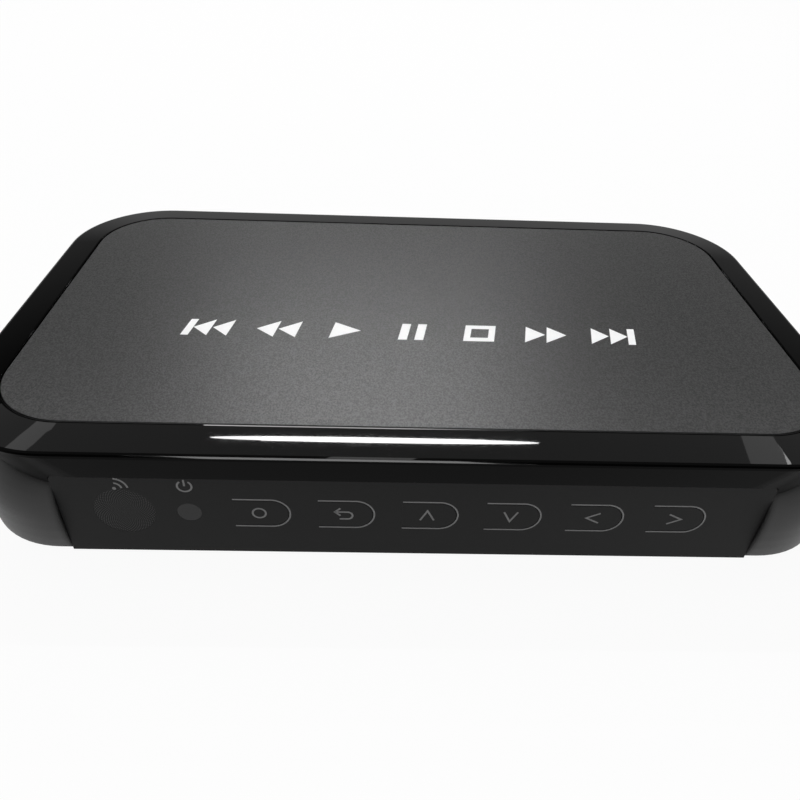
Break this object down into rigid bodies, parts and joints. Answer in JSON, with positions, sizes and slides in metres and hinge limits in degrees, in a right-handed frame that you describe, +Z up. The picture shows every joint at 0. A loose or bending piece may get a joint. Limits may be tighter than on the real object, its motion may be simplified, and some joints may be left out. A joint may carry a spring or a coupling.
{
  "type": "media player",
  "caption": "Desktop media player: bevelled gloss frame with matt plate, barrel-sided shell, flex keys and a rear-loading 2.5 inch drive tray",
  "frame": {"origin": "on the resting plane under the middle of the housing", "axes": "+X right as the front is faced, +Y to the rear, +Z up"},
  "size_m": [0.2108, 0.1244, 0.0337],
  "materials": {
    "shell": "fine moulded texture",
    "gloss_frame": "polished black",
    "top_plate": "fine spark texture",
    "end_panel": "smooth matt",
    "key": "smooth matt, outline printed in grey",
    "window": "infrared-pass plastic, dark",
    "lamp_lens": "smoked translucent",
    "black_plastic": "moulded",
    "ivory_plastic": "moulded",
    "circuit_board": "green solder mask",
    "chip": "moulded epoxy",
    "steel": "zinc plated",
    "socket_steel": "nickel plated",
    "cage_steel": "galvanised sheet",
    "drive_steel": "brushed",
    "drive_casting": "cast, satin",
    "aluminium": "extruded",
    "can_aluminium": "drawn can, satin",
    "ferrite": "sintered, dull",
    "brass": "turned",
    "screw_chrome": "nickel plated, knurled",
    "black_screw": "black oxide",
    "flat_cable": "film",
    "led": "clear moulded",
    "plunger": "moulded",
    "rubber": "soft, matt"
  },
  "bodies": {
    "housing": {"bottom_shell": "shell", "top_frame": "gloss_frame", "top_panel": "top_plate", "front_panel": "end_panel", "rear_panel": "end_panel", "ir_window": "window", "power_lens": "lamp_lens", "tact_switches": "black_plastic", "ir_receiver": "black_plastic", "power_led": "led", "cable_sockets": "ivory_plastic", "main_board": "circuit_board", "board_screws": "steel", "processor": "chip", "heat_sink": "aluminium", "memory_chips": "chip", "capacitors": "can_aluminium", "inductors": "ferrite", "crystal": "steel", "power_inlet": "black_plastic", "power_inlet_pin": "brass", "audio_jacks": "black_plastic", "hdmi_socket": "socket_steel", "hdmi_tongue": "black_plastic", "usb_socket": "socket_steel", "usb_tongues": "black_plastic", "cage_screws": "steel", "thread_insert": "brass", "housing_screws": "black_screw", "rubber_feet": "rubber", "key_board": "circuit_board", "key_board_screws": "steel", "key_cable": "flat_cable", "drive_socket": "black_plastic", "drive_cage": "cage_steel"},
    "tray": {"tray_sled": "cage_steel", "tray_door": "end_panel", "drive_base": "drive_casting", "drive_cover": "drive_steel", "drive_board": "circuit_board", "drive_plug": "black_plastic", "drive_screws": "steel"},
    "tray_screw": {"tray_screw": "screw_chrome"},
    "key_ok": {"key_ok": "key"},
    "plunger_ok": {"plunger_ok": "plunger"},
    "key_back": {"key_back": "key"},
    "plunger_back": {"plunger_back": "plunger"},
    "key_up": {"key_up": "key"},
    "plunger_up": {"plunger_up": "plunger"},
    "key_down": {"key_down": "key"},
    "plunger_down": {"plunger_down": "plunger"},
    "key_left": {"key_left": "key"},
    "plunger_left": {"plunger_left": "plunger"},
    "key_right": {"key_right": "key"},
    "plunger_right": {"plunger_right": "plunger"}
  },
  "joints": [
    {"name": "tray_slide", "type": "slide", "parent": "housing", "child": "tray", "axis": [0, 1, 0], "range_m": [0, 0.125]},
    {"name": "tray_screw_turn", "type": "hinge", "parent": "tray", "child": "tray_screw", "pos_m": [0.006, 0.06065, 0.0117], "axis": [0, 1, 0], "continuous": true},
    {"name": "key_ok_press", "type": "hinge", "parent": "housing", "child": "key_ok", "pos_m": [-0.0407, -0.05915, 0.01475], "axis": [0, 0, 1], "range_deg": [0, 2.2], "stiffness_Nm_per_rad": 0.4},
    {"name": "plunger_ok_slide", "type": "slide", "parent": "housing", "child": "plunger_ok", "axis": [0, 1, 0], "range_m": [0, 0.0003]},
    {"name": "key_back_press", "type": "hinge", "parent": "housing", "child": "key_back", "pos_m": [-0.02195, -0.05915, 0.01475], "axis": [0, 0, 1], "range_deg": [0, 2.2], "stiffness_Nm_per_rad": 0.4},
    {"name": "plunger_back_slide", "type": "slide", "parent": "housing", "child": "plunger_back", "axis": [0, 1, 0], "range_m": [0, 0.0003]},
    {"name": "key_up_press", "type": "hinge", "parent": "housing", "child": "key_up", "pos_m": [-0.0032, -0.05915, 0.01475], "axis": [0, 0, 1], "range_deg": [0, 2.2], "stiffness_Nm_per_rad": 0.4},
    {"name": "plunger_up_slide", "type": "slide", "parent": "housing", "child": "plunger_up", "axis": [0, 1, 0], "range_m": [0, 0.0003]},
    {"name": "key_down_press", "type": "hinge", "parent": "housing", "child": "key_down", "pos_m": [0.01555, -0.05915, 0.01475], "axis": [0, 0, 1], "range_deg": [0, 2.2], "stiffness_Nm_per_rad": 0.4},
    {"name": "plunger_down_slide", "type": "slide", "parent": "housing", "child": "plunger_down", "axis": [0, 1, 0], "range_m": [0, 0.0003]},
    {"name": "key_left_press", "type": "hinge", "parent": "housing", "child": "key_left", "pos_m": [0.0343, -0.05915, 0.01475], "axis": [0, 0, 1], "range_deg": [0, 2.2], "stiffness_Nm_per_rad": 0.4},
    {"name": "plunger_left_slide", "type": "slide", "parent": "housing", "child": "plunger_left", "axis": [0, 1, 0], "range_m": [0, 0.0003]},
    {"name": "key_right_press", "type": "hinge", "parent": "housing", "child": "key_right", "pos_m": [0.05305, -0.05915, 0.01475], "axis": [0, 0, 1], "range_deg": [0, 2.2], "stiffness_Nm_per_rad": 0.4},
    {"name": "plunger_right_slide", "type": "slide", "parent": "housing", "child": "plunger_right", "axis": [0, 1, 0], "range_m": [0, 0.0003]}
  ],
  "couplings": [
    {"joint": "plunger_ok_slide", "follows": "key_ok_press", "m_per_rad": 0.0075},
    {"joint": "plunger_back_slide", "follows": "key_back_press", "m_per_rad": 0.0075},
    {"joint": "plunger_up_slide", "follows": "key_up_press", "m_per_rad": 0.0075},
    {"joint": "plunger_down_slide", "follows": "key_down_press", "m_per_rad": 0.0075},
    {"joint": "plunger_left_slide", "follows": "key_left_press", "m_per_rad": 0.0075},
    {"joint": "plunger_right_slide", "follows": "key_right_press", "m_per_rad": 0.0075}
  ]
}
